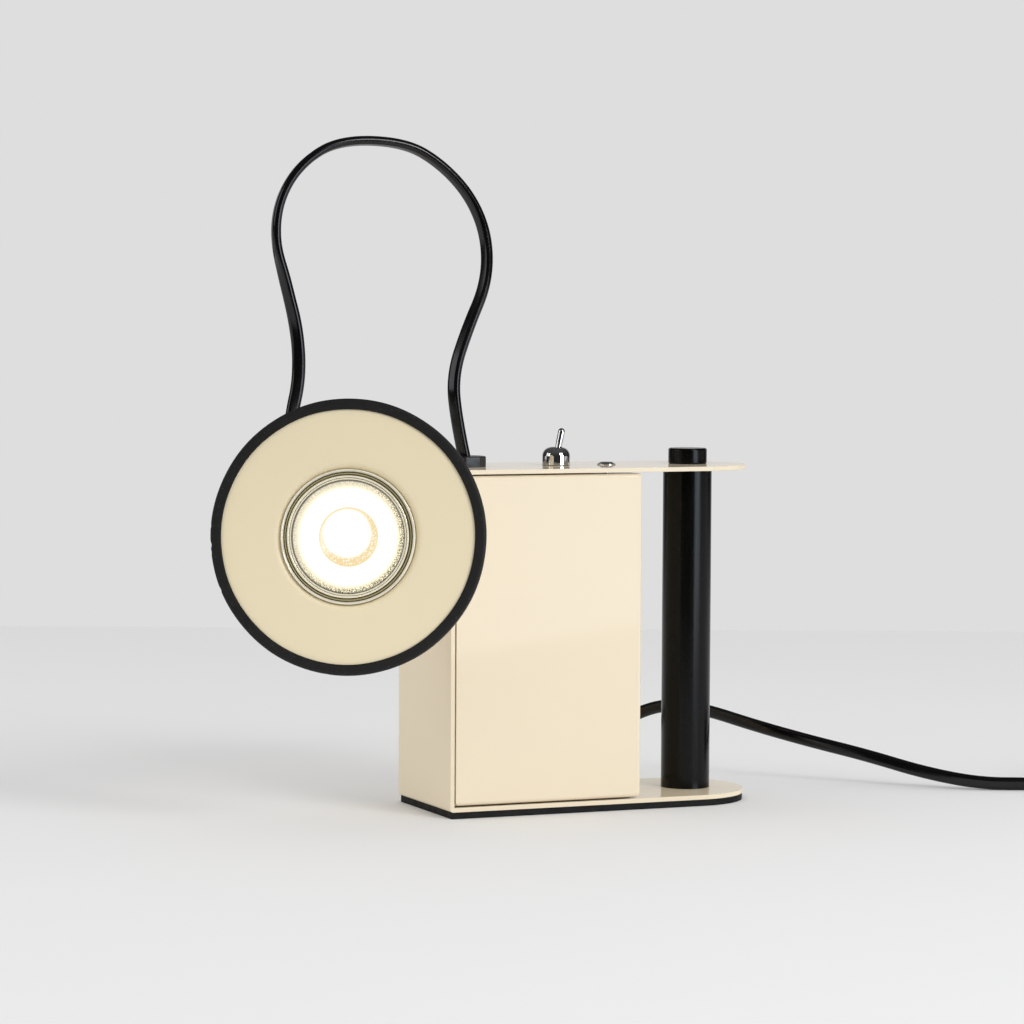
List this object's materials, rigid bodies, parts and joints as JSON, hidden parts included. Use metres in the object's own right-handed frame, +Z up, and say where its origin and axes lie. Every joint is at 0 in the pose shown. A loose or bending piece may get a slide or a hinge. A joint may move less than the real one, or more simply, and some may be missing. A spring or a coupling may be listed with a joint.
{
  "type": "spot_lamp.table",
  "caption": "Table spot lamp: round swivel head on a magnet ball, cream sheet frame with a switch box, black grip column, loop cord and mains lead.",
  "frame": {"origin": "centre of the foot mat's underside, on the surface that the lamp stands on", "axes": "+Z up, +X along the frame to its round end, front towards -Y"},
  "size_m": [0.5247, 0.1969, 0.3],
  "materials": {
    "shell": "gloss powder coat",
    "front_face": "semi-gloss powder coat",
    "chrome": "polished",
    "black_metal": "satin",
    "steel": "brushed",
    "magnet": "nickel-plated",
    "brass": "turned",
    "rubber": "matt",
    "cord": "gloss",
    "black_plastic": "matt",
    "white_plastic": "matt",
    "ceramic": "glazed",
    "reflector": "polished",
    "lens": "clear"
  },
  "bodies": {
    "base": {"frame_shell": "shell", "foot_mat": "rubber", "box_cover": "shell", "cover_screw_top": "chrome", "cover_screw_low": "steel", "cover_inserts": "steel", "grip_column": "black_metal", "column_knob": "black_metal", "column_screw": "steel", "switch_dome_nut": "chrome", "switch_bushing": "chrome", "switch_nut": "steel", "switch_body": "black_plastic", "switch_terminals": "brass", "top_gland": "black_plastic", "top_gland_nut": "black_plastic", "mains_gland": "rubber", "mains_gland_nut": "black_plastic", "terminal_block": "white_plastic", "clamp_screws": "brass", "wall_cup": "steel", "wall_magnet": "magnet", "wall_cup_screw": "steel", "loop_cord_box": "cord", "mains_cord": "cord", "mains_coil": "cord", "plug_body": "black_plastic", "plug_relief": "rubber", "plug_pins": "steel"},
    "ball": {"pivot_ball": "chrome"},
    "head": {"head_cup": "steel", "head_magnet": "magnet", "head_rivet": "steel", "head_shell": "shell", "front_disc": "front_face", "rim_seal": "rubber", "bulb_ring": "chrome", "bulb_reflector": "reflector", "bulb_lens": "lens", "bulb_base": "white_plastic", "bulb_pins": "steel", "lamp_holder": "ceramic", "holder_strap": "steel", "strap_screws": "steel", "head_gland": "rubber", "loop_cord_head": "cord"},
    "lever": {"switch_lever": "chrome"}
  },
  "joints": [
    {"name": "head_pan", "type": "hinge", "parent": "base", "child": "ball", "pos_m": [-0.1037, 0, 0.1199], "axis": [0, 0, 1], "range_deg": [-127.5, 2.5], "deforming": ["loop_cord_box"]},
    {"name": "head_tilt", "type": "hinge", "parent": "ball", "child": "head", "pos_m": [-0.1037, 0, 0.1199], "axis": [-0.887, 0.4617, 0], "range_deg": [-35, 35], "deforming": ["loop_cord_head"]},
    {"name": "switch_lever", "type": "hinge", "parent": "base", "child": "lever", "pos_m": [-0.014, 0, 0.1561], "axis": [0, 1, 0], "range_deg": [-24, 0]}
  ]
}
